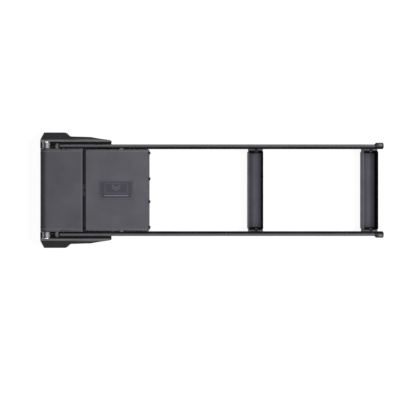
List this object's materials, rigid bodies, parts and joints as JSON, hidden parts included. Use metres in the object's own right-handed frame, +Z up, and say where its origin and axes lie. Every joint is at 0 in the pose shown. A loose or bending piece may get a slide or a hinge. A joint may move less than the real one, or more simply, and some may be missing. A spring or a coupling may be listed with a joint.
{
  "type": "camera slider",
  "caption": "Motorised camera slider: a slotted platform carriage rolls between twin round rails that tilt on a splayed end foot.",
  "frame": {"origin": "on the table, at the centre of the footprint of the whole slider with the carriage parked", "axes": "+X along the rails from the pivot foot to the free end, +Y across the rails towards the drive roller, +Z up"},
  "size_m": [0.857, 0.2942, 0.0717],
  "materials": {
    "satin_black_casting": "satin",
    "grey_black_powder_coat": "fine powder coat",
    "black_powder_coat": "satin powder coat",
    "black_anodised_rail": "satin anodised",
    "bare_aluminium": "turned",
    "zinc_steel": "zinc plated",
    "black_oxide_steel": "black oxide",
    "grey_steel_nut": "satin",
    "black_moulded_cap": "satin moulded",
    "pad_rubber": "matte",
    "black_anodised_channel": "matte anodised",
    "badge_plate": "brushed anodised",
    "roller_pom": "smooth moulded",
    "bearing_steel": "ground",
    "motor_steel": "painted laminations",
    "pinion_brass": "machined",
    "battery_wrap": "shrink wrap",
    "circuit_board": "solder mask",
    "wire_sleeve": "soft",
    "switch_black": "moulded",
    "switch_red": "moulded"
  },
  "bodies": {
    "end_foot": {"side_foot_front": "satin_black_casting", "side_foot_rear": "satin_black_casting", "foot_tie": "black_powder_coat", "foot_tie_bolts": "black_oxide_steel", "pivot_bolts": "zinc_steel", "pivot_washers": "zinc_steel", "foot_pads": "pad_rubber"},
    "rail_frame": {"rail_front": "black_anodised_rail", "rail_rear": "black_anodised_rail", "pivot_hub_front": "bare_aluminium", "pivot_hub_rear": "bare_aluminium", "rail_studs": "black_oxide_steel", "lock_nuts": "grey_steel_nut", "end_cap_front": "black_moulded_cap", "end_cap_rear": "black_moulded_cap", "end_cap_screws": "zinc_steel", "tie_middle": "black_powder_coat", "tie_end": "black_powder_coat", "rail_saddles_middle": "black_powder_coat", "rail_saddles_end": "black_powder_coat", "saddle_screws": "black_oxide_steel", "tie_screws": "black_oxide_steel", "tie_pads": "pad_rubber"},
    "carriage": {"nose_cover": "grey_black_powder_coat", "deck_plate": "grey_black_powder_coat", "carriage_tub": "black_powder_coat", "tub_posts": "zinc_steel", "end_plate": "grey_black_powder_coat", "end_plate_screws": "black_oxide_steel", "nose_screws": "black_oxide_steel", "slot_channel": "black_anodised_channel", "name_badge": "badge_plate", "roller_axles": "zinc_steel", "axle_clips": "zinc_steel", "drive_bracket": "black_powder_coat", "drive_motor": "motor_steel", "motor_screws": "zinc_steel", "idler_pin": "zinc_steel", "battery_pack": "battery_wrap", "control_board": "circuit_board", "wiring": "wire_sleeve", "switch_housing": "switch_black", "charge_socket": "switch_black"},
    "roller_left_front": {"guide_roller_left_front": "roller_pom", "bearings_left_front": "bearing_steel"},
    "roller_left_rear": {"guide_roller_left_rear": "roller_pom", "bearings_left_rear": "bearing_steel"},
    "roller_right_front": {"guide_roller_right_front": "roller_pom", "bearings_right_front": "bearing_steel"},
    "roller_right_rear": {"drive_roller": "roller_pom", "bearings_right_rear": "bearing_steel"},
    "idler": {"idler_gear": "roller_pom"},
    "motor_shaft": {"motor_pinion": "pinion_brass"},
    "power_rocker": {"switch_rocker": "switch_red"},
    "camera_mount_nut": {"camera_nut": "black_oxide_steel"}
  },
  "joints": [
    {"name": "rail_tilt", "type": "hinge", "parent": "end_foot", "child": "rail_frame", "pos_m": [-0.4142, 0, 0.056], "axis": [0, -1, 0], "range_deg": [0, 45]},
    {"name": "carriage_slide", "type": "slide", "parent": "rail_frame", "child": "carriage", "axis": [1, 0, 0], "range_m": [0, 0.62]},
    {"name": "roller_left_front_spin", "type": "hinge", "parent": "carriage", "child": "roller_left_front", "pos_m": [-0.3685, -0.0974, 0.056], "axis": [0, 0, 1], "continuous": true},
    {"name": "roller_left_rear_spin", "type": "hinge", "parent": "carriage", "child": "roller_left_rear", "pos_m": [-0.3685, 0.0974, 0.056], "axis": [0, 0, 1], "continuous": true},
    {"name": "roller_right_front_spin", "type": "hinge", "parent": "carriage", "child": "roller_right_front", "pos_m": [-0.224, -0.0974, 0.056], "axis": [0, 0, 1], "continuous": true},
    {"name": "drive_roller_spin", "type": "hinge", "parent": "carriage", "child": "roller_right_rear", "pos_m": [-0.224, 0.0974, 0.056], "axis": [0, 0, 1], "continuous": true},
    {"name": "idler_spin", "type": "hinge", "parent": "carriage", "child": "idler", "pos_m": [-0.224, 0.0774, 0.056], "axis": [0, 0, 1], "continuous": true},
    {"name": "motor_spin", "type": "hinge", "parent": "carriage", "child": "motor_shaft", "pos_m": [-0.224, 0.0582, 0.056], "axis": [0, 0, 1], "continuous": true},
    {"name": "camera_nut_slide", "type": "slide", "parent": "carriage", "child": "camera_mount_nut", "axis": [0, 1, 0], "range_m": [-0.078, 0.078]},
    {"name": "power_rocker_tilt", "type": "hinge", "parent": "carriage", "child": "power_rocker", "pos_m": [-0.4238, 0.064, 0.045], "axis": [0, 0, 1], "range_deg": [0, 14]}
  ],
  "couplings": [
    {"joint": "roller_left_front_spin", "follows": "carriage_slide", "rad_per_m": -192.31},
    {"joint": "roller_left_rear_spin", "follows": "carriage_slide", "rad_per_m": 192.31},
    {"joint": "roller_right_front_spin", "follows": "carriage_slide", "rad_per_m": -192.31},
    {"joint": "drive_roller_spin", "follows": "carriage_slide", "rad_per_m": 192.31},
    {"joint": "idler_spin", "follows": "carriage_slide", "rad_per_m": -108.17},
    {"joint": "motor_spin", "follows": "carriage_slide", "rad_per_m": 216.35}
  ]
}
